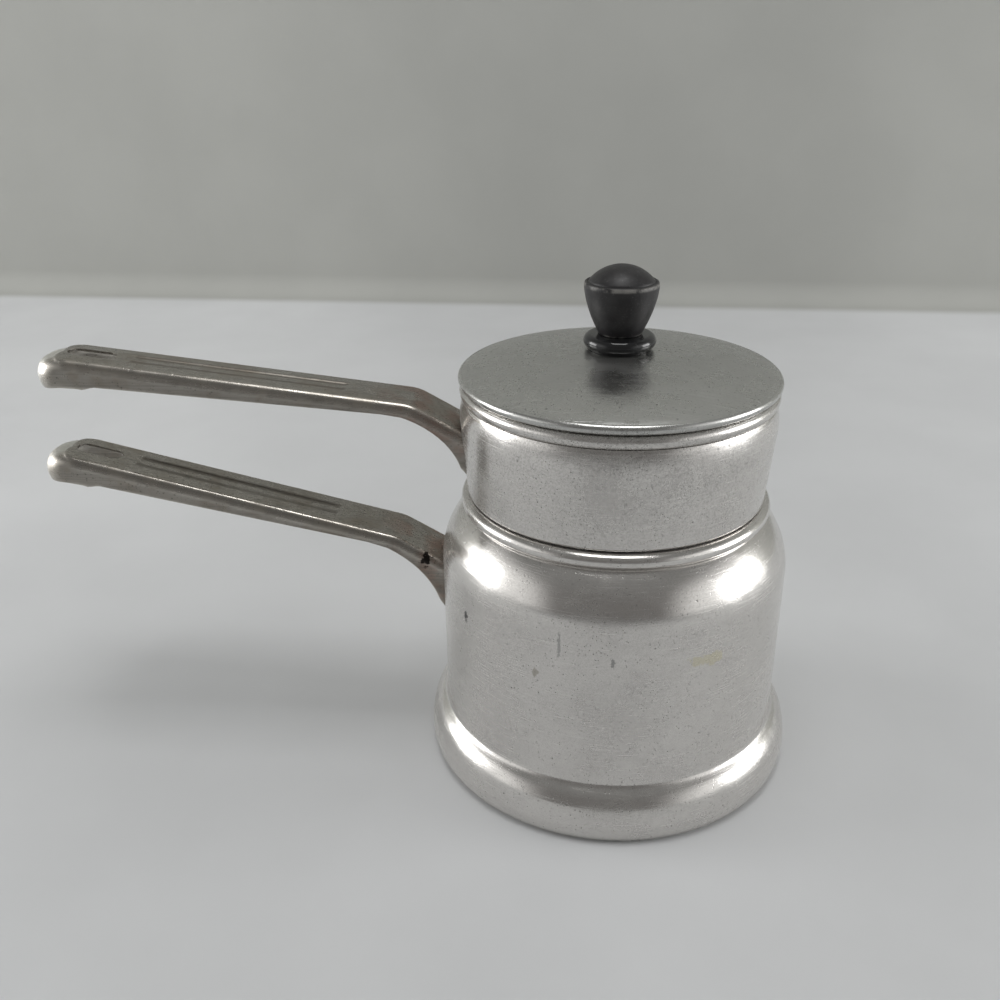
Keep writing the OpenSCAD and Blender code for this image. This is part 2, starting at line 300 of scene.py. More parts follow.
def finished(piece, body, node, skins, crease=32):
    """Smooths the piece, dresses it, stores how level each place of it is (0 on
    a wall, 1 on a flat top) and hangs it on its body."""
    begin()
    piece.select_set(True)
    bpy.context.view_layer.objects.active = piece
    bpy.ops.object.shade_smooth_by_angle(angle=math.radians(crease))
    for skin in skins:
        piece.data.materials.append(skin.material)
    level = piece.data.attributes.new("level", "FLOAT", "POINT")
    for vertex, entry in zip(piece.data.vertices, level.data):
        entry.value = abs(vertex.normal.z)
    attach(piece, body)
    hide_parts(node)


def give(piece, chosen):
    """Puts the second material on the faces that chosen accepts, by the face's
    middle in millimetres and its normal."""
    for face in piece.data.polygons:
        face.material_index = int(chosen(face.center / MM, face.normal))


# Materials


class Nodes:
    """A node tree, with short calls for the nodes that it is built from."""

    def __init__(self, tree):
        self.tree = tree

    def node(self, kind, inputs, **settings):
        """Adds a node, sets it, and links or sets its inputs."""
        made = self.tree.nodes.new("ShaderNode" + kind)
        for key, value in settings.items():
            setattr(made, key, value)
        for key, value in inputs.items():
            socket = made.inputs[key]
            if isinstance(value, bpy.types.NodeSocket):
                self.tree.links.new(value, socket)
            elif socket.type == "RGBA":
                socket.default_value = (*value, 1)
            else:
                socket.default_value = value
        return made

    def calc(self, operation, first, second=0.0, clamp=False):
        made = self.node("Math", {0: first, 1: second}, operation=operation, use_clamp=clamp)
        return made.outputs[0]

    def times(self, first, second, clamp=False):
        return self.calc("MULTIPLY", first, second, clamp)

    def sum(self, *values):
        total = values[0]
        for value in values[1:]:
            total = self.calc("ADD", total, value)
        return total

    def vector(self, operation, first, second=(0, 0, 0)):
        made = self.node("VectorMath", {0: first, 1: second}, operation=operation)
        return made.outputs["Value" if operation == "LENGTH" else "Vector"]

    def ramp(self, value, low, high, first=0.0, last=1.0):
        """Maps value from low..high to first..last, held at both ends."""
        made = self.node(
            "MapRange",
            {0: value, 1: low, 2: high, 3: first, 4: last},
            interpolation_type="SMOOTHSTEP",
        )
        return made.outputs[0]

    def blend(self, mask, first, second):
        """Mixes two colours."""
        made = self.node("Mix", {0: mask, 6: first, 7: second}, data_type="RGBA")
        return made.outputs[2]


class Surface(Nodes):
    """A new material on Object coordinates: its nodes and its shader."""

    def __init__(self, name):
        self.material = bpy.data.materials.new(name)
        self.material.use_nodes = True
        super().__init__(self.material.node_tree)
        self.shader = self.tree.nodes["Principled BSDF"]
        self.place = self.node("TexCoord", {}).outputs["Object"]
        self.x, self.y, self.z = self.node("SeparateXYZ", {0: self.place}).outputs
        flat = self.node("CombineXYZ", {0: self.x, 1: self.y}).outputs[0]
        self.radius = self.vector("LENGTH", flat)

    def wire(self, name, value):
        """Links a value to the shader's input of that name."""
        self.tree.links.new(value, self.shader.inputs[name])

    def set(self, name, value):
        """Sets the shader's own input of that name, where it is even all over."""
        self.shader.inputs[name].default_value = value

    def noise(self, scale, detail=2.0, rough=0.5, at=None):
        inputs = {"Scale": scale, "Detail": detail, "Roughness": rough}
        made = self.node("TexNoise", {"Vector": at or self.place, **inputs})
        return made.outputs["Fac"]

    def placed(self, scale, at=None, turn=0, shift=(0, 0, 0)):
        """Coordinates that are moved, turned round Z by degrees and scaled."""
        turn = (0, 0, math.radians(turn))
        inputs = {0: at or self.place, 1: shift, 2: turn, 3: scale}
        return self.node("Mapping", inputs).outputs[0]

    def stored(self, name):
        """Reads a number that is stored on the mesh of the piece."""
        read = self.node("Attribute", {}, attribute_name=name, attribute_type="GEOMETRY")
        return read.outputs["Fac"]

    def unrolled(self):
        """The surface rolled flat: the way round, and up the outline."""
        around = self.times(self.calc("ARCTAN2", self.y, self.x), 0.055)
        up = self.calc("SUBTRACT", self.z, self.radius)
        return self.node("CombineXYZ", {0: around, 1: up}).outputs[0]

    def scratches(self, flat, turn, fine, low, shift):
        """Thin straight scratches of one direction, as a mask."""
        stretched = self.placed((55, fine, 1), flat, turn, shift)
        return self.ramp(self.noise(1.0, 1.0, at=stretched), low, low + 0.035)

    def specks(self, scale, size, low):
        """Small round spots, scattered where a coarse pattern allows."""
        cells = self.node("TexVoronoi", {"Vector": self.place, "Scale": scale}, feature="F1")
        near = self.ramp(cells.outputs["Distance"], size * 0.5, size, 1, 0)
        some = self.ramp(self.noise(scale * 0.31, 1.0), low, low + 0.06)
        return self.times(near, some)

    def crackle(self, scale, width):
        """Thin wandering lines, dense in some places and absent in others."""
        wander = self.noise(scale, 4.0, 0.6)
        off = self.calc("ABSOLUTE", self.calc("SUBTRACT", wander, 0.5))
        some = self.ramp(self.noise(scale * 0.13, 2.0), 0.45, 0.62)
        return self.times(self.ramp(off, 0, width, 1, 0), some)

    def layered(self, tone, *layers):
        """Lays tints over a tone, each through its mask, and wires the result."""
        for mask, tint in layers:
            tone = self.blend(mask, tone, tint)
        self.wire("Base Color", tone)

    def mark(self, centre, size, tint, amount):
        """Lays one ragged spot over the colour, at a place on the surface."""
        wobble = self.noise(0.9 / min(size), 3.0, 0.6)
        moved = self.vector("SUBTRACT", self.place, centre)
        away = self.vector("LENGTH", self.vector("DIVIDE", moved, size))
        ragged = self.sum(away, self.ramp(wobble, 0.3, 0.7, -0.5, 0.5))
        mask = self.times(self.ramp(ragged, 0.75, 1.05, 1, 0), amount)
        under = self.shader.inputs["Base Color"].links[0].from_socket
        self.wire("Base Color", self.blend(mask, under, tint))

    def bump(self, height, depth, strength=1.0):
        made = self.node("Bump", {"Height": height, "Distance": depth, "Strength": strength})
        self.wire("Normal", made.outputs[0])


def toned(tint, *shares):
    """A tint with its channels scaled, by one share or by one each."""
    return [min(1, c * shares[i % len(shares)]) for i, c in enumerate(tint)]


def spun_aluminium(name, tint, dark, flat_top=False, satin=0.2, mottle=0.5, bloom=0.3):
    """Aged, polished aluminium with spin lines, haze, scratches and specks,
    and a dull bloom over the metal."""
    wear = bpy.context.scene.boiler_finishes.wear
    m = Surface(name)
    flat = m.place if flat_top else m.unrolled()
    haze = m.ramp(m.noise(38.0, 5.0, 0.6), 0.38, 0.66)
    cloud = m.ramp(m.noise(120.0, 3.0, 0.6), 0.35, 0.7)
    outline = m.node(
        "CombineXYZ",
        {0: m.times(m.radius, 2600.0), 1: m.times(m.z, 2600.0), 2: m.times(m.x, 14.0)},
    ).outputs[0]
    spin = m.noise(1.0, 3.0, 0.65, at=outline)
    ways = (
        (24, 1900, 0.665, (3.1, 1.7, 0)),
        (-38, 2300, 0.67, (7.3, 4.1, 0)),
        (71, 1700, 0.68, (1.3, 8.2, 0)),
        (88, 1500, 0.66, (5.9, 2.6, 0)),
        (-14, 2100, 0.69, (2.2, 6.3, 0)),
    )
    marks = m.sum(*(m.scratches(flat, *way) for way in ways))
    dots = m.sum(m.specks(420.0, 0.2, 0.56), m.specks(1100.0, 0.3, 0.5))
    lines = m.sum(m.crackle(210.0, 0.012), m.crackle(520.0, 0.014))
    grit = m.ramp(m.noise(1600.0, 3.0, 0.7), 0.42, 0.66)
    m.layered(
        tint,
        (m.times(haze, 0.45), toned(tint, dark)),
        (m.times(grit, mottle * 0.5), toned(tint, 0.5)),
        (m.times(lines, mottle * 0.6, clamp=True), toned(tint, 0.4)),
        (m.times(dots, wear, clamp=True), toned(tint, 0.35)),
        (m.times(marks, 0.3 * wear, clamp=True), toned(tint, 1.25)),
    )
    rough = m.sum(
        m.ramp(haze, 0, 1, satin, satin + 0.1),
        m.times(cloud, 0.05),
        m.times(marks, 0.08 * wear),
        m.times(dots, 0.2 * wear),
        m.times(grit, 0.1 * mottle),
        m.ramp(spin, 0.3, 0.7, -0.012, 0.012),
    )
    m.wire("Roughness", rough)
    height = m.sum(
        m.times(spin, 0.06),
        m.times(marks, -0.25),
        m.times(dots, -1.5),
        m.times(grit, -0.5 * mottle),
        m.times(m.noise(30.0, 1.0), 14.0),
    )
    m.bump(height, 0.000012)
    dull = m.ramp(haze, 0, 1, bloom * 0.6, bloom)
    upright = m.ramp(m.stored("level"), 0.1, 0.35, 1, 0.3)
    m.wire("Metallic", m.calc("SUBTRACT", 1.0, m.times(dull, upright)))
    return m


def plated_steel(name, tint):
    """Worn plating, drawn lengthwise, pitted, with brighter rubbed edges, painted shade along
    the flute's edges and down the sides, and a nose made bright by wear and a painted
    highlight.
    """
    wear = bpy.context.scene.boiler_finishes.wear
    m = Surface(name)
    drawn_lines = m.noise(1.0, 4.0, 0.6, at=m.placed((22, 1500, 1500)))
    broad = m.noise(1.0, 3.0, at=m.placed((14, 190, 190)))
    patch = m.ramp(m.noise(70.0, 5.0, 0.65), 0.42, 0.68)
    pits = m.sum(m.specks(700.0, 0.28, 0.5), m.specks(1500.0, 0.3, 0.5))
    worn = m.stored("rubbed")
    # The nose's share: worn bright plating and a painted highlight.
    nose = m.ramp(worn, 1.0, 2.0)
    uneven = m.ramp(m.noise(160.0, 3.0), 0.3, 0.55, 0.35, 1)
    rubbed = m.times(m.calc("MINIMUM", worn, 1.0), uneven)
    # Painted shade: darker and rougher in the flute's edges, down the sides and round the
    # nose's notch, in patches.
    shade_patches = m.ramp(broad, 0.3, 0.6, 0.6, 1.0)
    painted_shade = m.times(m.stored("painted_shade"), shade_patches, clamp=True)
    near_root = m.ramp(m.radius, 0.064, 0.083, 1, 0)
    root = m.times(near_root, m.ramp(m.noise(110.0, 4.0), 0.38, 0.6))
    m.layered(
        tint,
        (m.times(patch, 0.6), toned(tint, 0.72, 0.66, 0.58)),
        (m.times(root, 0.8), toned(tint, 0.85, 0.62, 0.56)),
        # Painted shade in the flute's edges and down the sides.
        (m.times(painted_shade, 0.6), toned(tint, 0.3, 0.27, 0.24)),
        (m.ramp(drawn_lines, 0.45, 0.7, 0, 0.55), toned(tint, 0.5)),
        (m.times(pits, wear, clamp=True), toned(tint, 0.3)),
        (m.times(rubbed, 0.5), toned(tint, 1.9)),
        # The nose made bright: worn plating and a painted highlight.
        (m.times(nose, m.ramp(patch, 0, 1, 0.85, 0.5)), (0.78, 0.77, 0.73)),
    )
    rough = m.sum(
        m.ramp(patch, 0, 1, 0.26, 0.38),
        m.times(painted_shade, 0.22),
        m.ramp(drawn_lines, 0.3, 0.7, -0.05, 0.07),
        m.times(pits, 0.15),
        m.times(rubbed, -0.03),
        m.times(nose, 0.16),
    )
    m.wire("Roughness", rough)
    height = m.sum(m.times(drawn_lines, 0.6), m.times(broad, 3.0), m.times(pits, -2.0))
    m.bump(height, 0.00001)
    m.set("Metallic", 1.0)
    return m


def plain_steel(name, tint, satin):
    """Dull metal with fine grain, for the small fasteners."""
    m = Surface(name)
    grain = m.noise(1400.0, 4.0, 0.6)
    patch = m.ramp(m.noise(260.0, 3.0), 0.35, 0.7)
    m.layered(tint, (m.times(patch, 0.5), toned(tint, 0.6)))
    m.wire("Roughness", m.ramp(grain, 0.3, 0.7, satin - 0.06, satin + 0.1))
    m.bump(grain, 0.000008)
    m.set("Metallic", 1.0)
    return m


def worn_black(name, tint, rim_r, rim_z, foot_z):
    """Matt black with a fine grain, rubbed pale at the rim and the foot."""
    wear = bpy.context.scene.boiler_finishes.wear
    m = Surface(name)
    grain = m.noise(900.0, 4.0, 0.65)
    patch = m.noise(220.0, 4.0, 0.6)
    away = m.calc("ABSOLUTE", m.calc("SUBTRACT", m.z, rim_z))
    out = m.ramp(m.radius, rim_r - 0.0007, rim_r - 0.0001)
    rim = m.times(m.ramp(away, 0.0002, 0.0009, 1, 0), out)
    foot = m.ramp(m.z, foot_z + 0.0002, foot_z + 0.0009, 1, 0)
    edge = m.times(m.calc("MAXIMUM", rim, foot), m.ramp(patch, 0.4, 0.62))
    dust = m.ramp(m.noise(1500.0, 2.0), 0.6, 0.72)
    m.layered(
        tint,
        (m.ramp(patch, 0.35, 0.7, 0, 0.5), (0.04, 0.039, 0.039)),
        (m.times(dust, 0.25 * wear), (0.16,) * 3),
        (m.times(edge, wear), (0.3, 0.29, 0.27)),
    )
    m.wire("Roughness", m.ramp(patch, 0.3, 0.7, 0.36, 0.52))
    m.bump(m.sum(grain, m.times(patch, 2.0)), 0.00004, 0.7)
    m.set("Specular IOR Level", 0.35)
    return m


def glossy_black(name, tint):
    """Moulded glossy black with a few faint hairlines."""
    m = Surface(name)
    wave = m.noise(300.0, 2.0)
    fine = m.ramp(m.noise(1.0, at=m.placed((90, 1900, 400))), 0.66, 0.7)
    m.layered(tint, (m.times(fine, 0.3), (0.08,) * 3))
    m.wire("Roughness", m.sum(m.ramp(wave, 0.3, 0.7, 0.08, 0.16), m.times(fine, 0.1)))
    m.bump(wave, 0.00002, 0.5)
    return m


# Pieces


class BOILER_OT_lower_pot(bpy.types.Operator):
    """Turns the lower pot with its foot band, shoulder and rolled neck"""

    bl_idname = "boiler.lower_pot"
    bl_label = "Lower pot"

    # The wall's single marks: centre, size, tint and strength
    MARKS = (
        ((-0.0449, -0.0353, 0.0644), (0.0009, 0.0009, 0.0018), (0.05,) * 3, 0.9),
        ((0.0288, -0.0493, 0.0623), (0.005, 0.005, 0.0024), (0.6, 0.56, 0.4), 0.6),
        ((-0.0215, -0.0529, 0.057), (0.0012, 0.0012, 0.0016), (0.3, 0.27, 0.22), 0.6),
        ((0.0018, -0.0571, 0.0641), (0.0006, 0.001, 0.0014), (0.18,) * 3, 0.7),
        ((-0.0142, -0.0553, 0.0688), (0.0005, 0.001, 0.0044), (0.25,) * 3, 0.6),
    )

    def execute(self, context):
        s = in_mm(context.scene.boiler_pot)
        tint = context.scene.boiler_finishes.pot
        flat_r = s.foot_r - 3.4
        floor_t = 1.2
        throat_r = 46.5
        wall_in = s.wall_r - s.sheet_t
        foot_in = s.foot_r - s.sheet_t
        wall_z = s.foot_h + 1.6
        shoulder = (s.wall_r - s.shoulder_r, s.neck_z - SHOULDER_DROP)
        bead = (BEAD_AT, s.neck_z - NECK_BEAD)
        outside = joined(
            line((0, 0), (flat_r, 0), 8),
            curve((flat_r + 0.6, 0.05), (s.foot_r - 0.3, 0.6), (s.foot_r - 0.12, 5.4), 14),
            curve(
                (s.foot_r - 0.02, 5.8),
                (s.foot_r - 0.3, 14.2),
                (s.wall_r + 1.4, s.foot_h - 1.4),
                22,
            ),
            curve(
                (s.wall_r + 1.1, s.foot_h - 1.1),
                (s.wall_r, s.foot_h - 0.1),
                (s.wall_r, wall_z),
                8,
            ),
            line((s.wall_r, wall_z), (s.wall_r, shoulder[1]), 12),
            arc(shoulder, s.shoulder_r, 0, 49.6, 30),
            [(bead[0] + 0.1, bead[1] - 2.35)],
            arc(bead, NECK_BEAD, -74, 118, 26),
        )
        inside = joined(
            line((throat_r, bead[1] + 2.1), (throat_r, bead[1] - 2.2), 4),
            arc(shoulder, s.shoulder_r - s.sheet_t, 49, 0, 26),
            line((wall_in, shoulder[1]), (wall_in, wall_z), 8),
            curve(
                (wall_in, wall_z),
                (wall_in, s.foot_h - 0.4),
                (s.wall_r + 0.3, s.foot_h - 2),
                8,
            ),
            curve((s.wall_r + 0.6, s.foot_h - 2.3), (s.foot_r - 1.3, 14), (foot_in, 5.5), 14),
            curve((foot_in, 5.3), (s.foot_r - 1.3, 1.4), (flat_r, floor_t), 10),
            line((flat_r, floor_t), (0, floor_t), 8),
        )
        piece = turned("pot_shell", joined(outside, inside))
        skin = spun_aluminium("pot_polished", tint, 0.78, satin=0.13, mottle=0.4)
        for mark in self.MARKS:
            skin.mark(*mark)
        lining = spun_aluminium("pot_lining", tint, 0.6, flat_top=True, satin=0.34)
        finished(piece, "pot_body", "lower_pot", (skin, lining), crease=38)
        give(
            piece,
            lambda c, n: (
                math.hypot(c.x, c.y) < throat_r + 0.1
                and c.z > 80
                or c.x * n.x + c.y * n.y < -0.001
                or (1 < c.z < 2 and n.z > 0.9)
                or c.z < 0.04
            ),
        )
        return {"FINISHED"}


class BOILER_OT_inset_pan(bpy.types.Operator):
    """Turns the inset pan with its step, swell and rolled rim"""

    bl_idname = "boiler.inset_pan"
    bl_label = "Inset pan"

    def execute(self, context):
        s = in_mm(context.scene.boiler_pan)
        pot = in_mm(context.scene.boiler_pot)
        tint = context.scene.boiler_finishes.pot
        t = pot.sheet_t
        ledge = pot.neck_z + SEAT_GAP
        under = ledge - 0.3
        step_r = 1.2
        mouth_r = 47.2
        bead = (BEAD_AT, s.rim_z - RIM_BEAD)
        cone_top = (s.swell_r - 0.2, s.rim_z - CONE_DROP)
        corner_r = 6
        corner = (s.body_r - corner_r, s.floor_z + corner_r)
        body_in = s.body_r - t
        swell_in = s.swell_r - t
        outside = joined(
            line((0, s.floor_z), (corner[0], s.floor_z), 8),
            arc(corner, corner_r, -90, 0, 14),
            line((s.body_r, corner[1]), (s.body_r, under), 8),
            curve((s.body_r, under), (s.body_r, ledge), (s.body_r + 0.4, ledge), 4),
            arc((s.low_r - step_r, ledge + step_r), step_r, -90, -2, 9),
            line((s.low_r, ledge + step_r), cone_top, 10),
            curve(
                (s.swell_r - 0.15, s.rim_z - 14),
                (s.swell_r + 0.4, s.rim_z - 9.6),
                (s.swell_r - 0.75, s.rim_z - 5.1),
                18,
            ),
            [(s.swell_r - 1.15, s.rim_z - 4.35), (bead[0] + 0.55, bead[1] - 2.0)],
            arc(bead, RIM_BEAD, -66, 100, 26),
        )
        inside = joined(
            arc(bead, RIM_BEAD, 100, 105, 1),
            line((mouth_r, s.rim_z - 0.4), (mouth_r, s.rim_z - 3.6), 4),
            curve(
                (swell_in - 0.75, s.rim_z - 5.2),
                (swell_in + 0.4, s.rim_z - 9.6),
                (swell_in - 0.15, s.rim_z - 14),
                14,
            ),
            line((cone_top[0] - t, cone_top[1]), (s.low_r - t + 0.05, ledge + 2), 8),
            [(s.low_r - 1.8, ledge + t), (body_in, ledge + t - 0.3)],
            line((body_in, ledge + 0.4), (body_in, corner[1]), 8),
            arc(corner, corner_r - t, 0, -90, 14),
            line((corner[0], s.floor_z + t), (0, s.floor_z + t), 8),
        )
        piece = turned("inset_shell", joined(outside, inside))
        skin = spun_aluminium("inset_polished", tint, 0.7, satin=0.14, mottle=0.9)
        lining = spun_aluminium("inset_lining", tint, 0.66, flat_top=True, satin=0.32)
        finished(piece, "inset_body", "inset_pan", (skin, lining), crease=38)
        give(
            piece,
            lambda c, n: (
                c.x * n.x + c.y * n.y < -0.001
                or c.z < ledge
                or (c.z < s.rim_z - 20 and n.z > 0.7)
            ),
        )
        return {"FINISHED"}


def lid_form(context):
    """The height of the lid's edge, the radius where its dome ends, and the
    dome's height at a radius, as a function."""
    s = in_mm(context.scene.boiler_lid)
    edge_z = in_mm(context.scene.boiler_pan).rim_z + SEAT_GAP
    turn = math.radians(LID_EDGE_TURN)
    rim_r = s.edge_r - LID_EDGE + LID_EDGE * math.cos(turn)
    low = edge_z + LID_EDGE + LID_EDGE * math.sin(turn)
    ball = (rim_r**2 + s.dome_h**2) / (2 * s.dome_h)
    return edge_z, rim_r, lambda r: low + s.dome_h - ball + math.sqrt(ball**2 - r**2)


class BOILER_OT_lid(bpy.types.Operator):
    """Turns the domed lid with its rolled edge and skirt"""

    bl_idname = "boiler.lid"
    bl_label = "Lid"

    def execute(self, context):
        s = in_mm(context.scene.boiler_lid)
        tint = context.scene.boiler_finishes.lid
        edge_z, rim_r, dome = lid_form(context)
        skirt_r = 46.7
        skirt_in = skirt_r - s.sheet_t
        skirt_z = edge_z - 6
        bend = 0.8
        hem = 0.45
        edge = (s.edge_r - LID_EDGE, edge_z + LID_EDGE)
        over = line((SCREW_HOLE, 0), (rim_r - 0.5, 0), 30)
        under = line((skirt_in - 1.2, 0), (SCREW_HOLE, 0), 30)
        under = [(r, dome(r) - s.sheet_t) for r, _ in under]
        outline = joined(
            [(SCREW_HOLE, dome(SCREW_HOLE) - s.sheet_t)],
            [(r, dome(r)) for r, _ in over],
            [(rim_r - 0.2, dome(rim_r) - 0.06)],
            arc(edge, LID_EDGE, 66, -90, 22),
            line((edge[0], edge_z), (skirt_r + bend, edge_z), 3),
            arc((skirt_r + bend, edge_z - bend), bend, 90, 180, 5),
            line((skirt_r, edge_z - bend), (skirt_r, skirt_z + 0.2), 5),
            arc((skirt_r - hem, skirt_z + hem), hem, 0, -180, 8),
            line((skirt_in, skirt_z + 0.5), (skirt_in, edge_z), 5),
            curve((skirt_in, edge_z), (skirt_in, edge_z + 2.4), under[0], 6),
            under,
        )
        piece = turned("lid_shell", outline)
        satin = spun_aluminium(
            "lid_satin", tint, 0.76, flat_top=True, satin=0.19, mottle=0.3, bloom=0.15
        )
        bright = spun_aluminium("lid_edge", tint, 0.8, satin=0.16, mottle=0.5)
        finished(piece, "lid_body", "lid", (satin, bright), crease=38)
        give(piece, lambda c, n: math.hypot(c.x, c.y) > rim_r - 0.3)
        return {"FINISHED"}


class BOILER_OT_knob(bpy.types.Operator):
    """Turns the knob's cup-shaped grip and the ring it stands on"""

    bl_idname = "boiler.knob"
    bl_label = "Knob and ring"

    def execute(self, context):
        s = in_mm(context.scene.boiler_lid)
        f = context.scene.boiler_finishes
        dome = lid_form(context)[2]
        gap = 0.02
        base = dome(0) + 4.5
        bend = 2.15
        low_r = s.ring_r - 1.4
        outline = joined(
            [(SCREW_HOLE, base)],
            [(r, dome(r) + gap) for r in (SCREW_HOLE, 4, 7, low_r)],
            arc((s.ring_r - bend, base - bend), bend, -55, 90, 22),
            [(7.4, base), (SCREW_HOLE, base)],
        )
        ring = turned("knob_ring", outline)
        glossy = glossy_black("ring_glossy", f.ring)
        finished(ring, "lid_body", "knob_base", (glossy,))
        foot = base + gap
        rim = base + s.knob_h
        cap_r, cap_h = 10.2, 5
        ball = (cap_r**2 + cap_h**2) / (2 * cap_h)
        half = math.degrees(math.asin(cap_r / ball))
        screw_r, screw_z = 1.75, base + 9
        cup = (6.75, foot + 0.35)
        outline = joined(
            [(0, screw_z), (screw_r, screw_z), (screw_r, foot), (6.3, foot)],
            curve((6.3, foot), (6.65, foot), cup, 4),
            curve(cup, (s.knob_r - 0.5, base + 8.3), (s.knob_r - 0.02, rim - 1.6), 26),
            curve((s.knob_r, rim - 1.2), (s.knob_r, rim - 0.05), (s.knob_r - 0.5, rim), 8),
            curve(
                (cap_r + 0.35, rim - 0.02),
                (cap_r + 0.12, rim - 0.5),
                (cap_r - 0.25, rim + 0.12),
                6,
            ),
            arc((0, rim + cap_h - ball), ball, 90 - half + 2.2, 90, 26),
        )
        grip = turned("knob_grip", outline)
        matt = worn_black("knob_matt", f.knob, s.knob_r * MM, (rim - 0.6) * MM, foot * MM)
        finished(grip, "lid_body", "knob", (matt,))
        return {"FINISHED"}


class Channel:
    """The form of one stamped handle, in its own upright plane: out from the
    pot's axis, sideways and up. A point is named by its station along the path
    and its column, from the middle of the back to the side's foot."""

    # Columns: of the back, by distance from its middle, then how many there are
    # in each of the two rounded corners and in the side
    WEB = (0, 0.9, 1.8, 2.35, 2.6, 2.8, 3.0, 3.3, 4.2, 5.4, 6.6, 7.6)
    FILLET = 6
    LEG = 8
    # Half widths of the back's crown and of its flat, and the flute's depth
    CROWN = 8.9
    FLAT = 8.1
    FLUTE = 0.35
    # The root: its slope, how far out it bends, the bend's radius, the path's
    # length from wall to corner, and where on the run the side's foot is free
    SLOPE = math.radians(29)
    ROOT = 15.2
    BEND = 16.0
    PATH = 17.4
    FREE = 9
    # The slot's middle and the nose's radius, from the tip, and the ball's
    SLOT_BACK = 17.6
    NOSE_R = 9.5
    BALL_R = 6.1

    def __init__(self, sizes, wall, root_z, rise, tail):
        self.wall = wall
        self.root_z = root_z
        self.rise = rise
        self.tail = tail
        self.run = sizes.run
        self.sheet_t = sizes.sheet_t
        self.half = sizes.width / 2
        self.slot_r = sizes.slot_w / 2
        reach = sizes.slot_l / 2 - self.slot_r
        self.slot_near = self.run - self.SLOT_BACK - reach
        self.slot_far = self.run - self.SLOT_BACK + reach
        r = wall(root_z)
        self.corner = Vector((r + self.ROOT, root_z + self.ROOT * math.tan(self.SLOPE)))
        self.tangent = self.BEND * math.tan((self.SLOPE - rise) / 2)
        self.stations = self.make_stations()
        self.nose = self.make_nose()
        self.webs = len(self.WEB)
        self.columns = self.webs + 2 * self.FILLET + self.LEG

    def make_stations(self):
        """Places along the path: (kind, value)."""
        found = [("root", i / 8) for i in range(8)]
        found += [("bend", i / 8) for i in range(9)]
        stops = [9, 13, 17, 20, 21, 22, 23, 24, 26]
        stops += [26 + (self.run - 36 - 26) * i / 20 for i in range(1, 21)]
        stops += [self.run - k for k in (34.5, 33, 32, 31, 30, 29, 28)]
        near = self.slot_near
        stops += [near - self.slot_r * math.cos(math.pi / 2 * i / 8) for i in range(9)]
        span = self.slot_far - near
        stops += [near + span * i / 7 for i in range(1, 8)]
        found += [("run", u) for u in stops if u > self.tangent + 0.5]
        return found

    def make_nose(self):
        """Points on the nose's plan outline, from the side to the front."""
        r = self.NOSE_R
        points = [(self.slot_far + 0.8 * i, self.half) for i in (1, 2, 3)]
        points += arc((self.run - r, self.half - r), r, 90, 0, 16)
        return points + [(self.run, 0)]

    def frame_at(self, kind, value):
        """The path's point and its square direction, on the bend or the run."""
        if kind == "bend":
            tilt = self.SLOPE + (self.rise - self.SLOPE) * value
            up = Vector((-math.sin(tilt), math.cos(tilt)))
            start = self.on(self.rise, self.tangent, -self.BEND)
            return start + up * self.BEND, up
        up = Vector((-math.sin(self.rise), math.cos(self.rise)))
        return self.on(self.rise, value, 0), up

    def on(self, slope, u, v):
        """A point u along a slope from the corner, v square to it."""
        x = u * math.cos(slope) - v * math.sin(slope)
        return self.corner + Vector((x, u * math.sin(slope) + v * math.cos(slope)))

    def depth(self, u):
        """How far the side reaches below the back, at u along the run."""
        marks = (
            (7, 4.1),
            (self.run - 22, 7.9),
            (self.run - 18.5, 9.25),
            (self.run - 16.5, 9.1),
            (self.run - 12.5, 9.4),
        )
        for (a, low), (b, high) in zip(marks, marks[1:]):
            if u <= b:
                return low + (high - low) * max(0, u - a) / (b - a)
        return marks[-1][1]

    def side_profile(self, depth):
        """Inward distance and height from the web's end to the side's foot."""
        web, crease = (3.2, -0.12), (1.3, -0.35)
        shoulder, foot = (0.0, -2.7), (0.0, -depth)
        first = self.fillet(web, crease, shoulder, 1.05)
        second = self.fillet(crease, shoulder, foot, 1.2)
        return first + second + line(second[-1], foot, self.LEG)[1:]

    def fillet(self, before, corner, after, size):
        """A short curve that rounds a corner, with FILLET points."""
        c = Vector(corner)
        start = c + (Vector(before) - c).normalized() * size
        end = c + (Vector(after) - c).normalized() * size
        return curve(start, c, end, self.FILLET - 1)

    def front_profile(self):
        """Inward distance and height down the nose: a notch, then a ball."""
        lead = [(9.0, -0.04), (8.5, -0.14), (8.05, -0.4), (7.75, -0.75), (7.45, -1.05)]
        count = 2 * self.FILLET + self.LEG - len(lead)
        ball = arc((0, -7.1), self.BALL_R, 100, -42, count - 1)
        return lead + [(self.BALL_R - x, z) for x, z in ball]

    def web_height(self, across, u):
        """The back's height: a slight crown, and the flute in the middle."""
        crown = -0.35 * (across / self.CROWN) ** 2
        fade = min(1, max(0, (u - 21) / 3), max(0, (self.run - 29 - u) / 5))
        if fade <= 0:
            return crown
        if across < 2.6:
            sunk = self.FLUTE + 0.09 * (1 - across / 2.6)
        else:
            sunk = self.FLUTE * max(0, (3.0 - across) / 0.4)
        return crown - sunk * min(1, fade)

    def section(self, u):
        """Sideways distance and height of each column at u on the run."""
        start = 0.0
        if u > self.slot_near - self.slot_r:
            back = min(self.slot_r, max(0, self.slot_near - u))
            start = math.sqrt(max(0, self.slot_r**2 - back**2))
        web = [start + base * (1 - start / self.FLAT) for base in self.WEB]
        side = self.side_profile(self.depth(u))
        points = [(across, self.web_height(across, u)) for across in web]
        return points + [(self.half - inward, height) for inward, height in side]

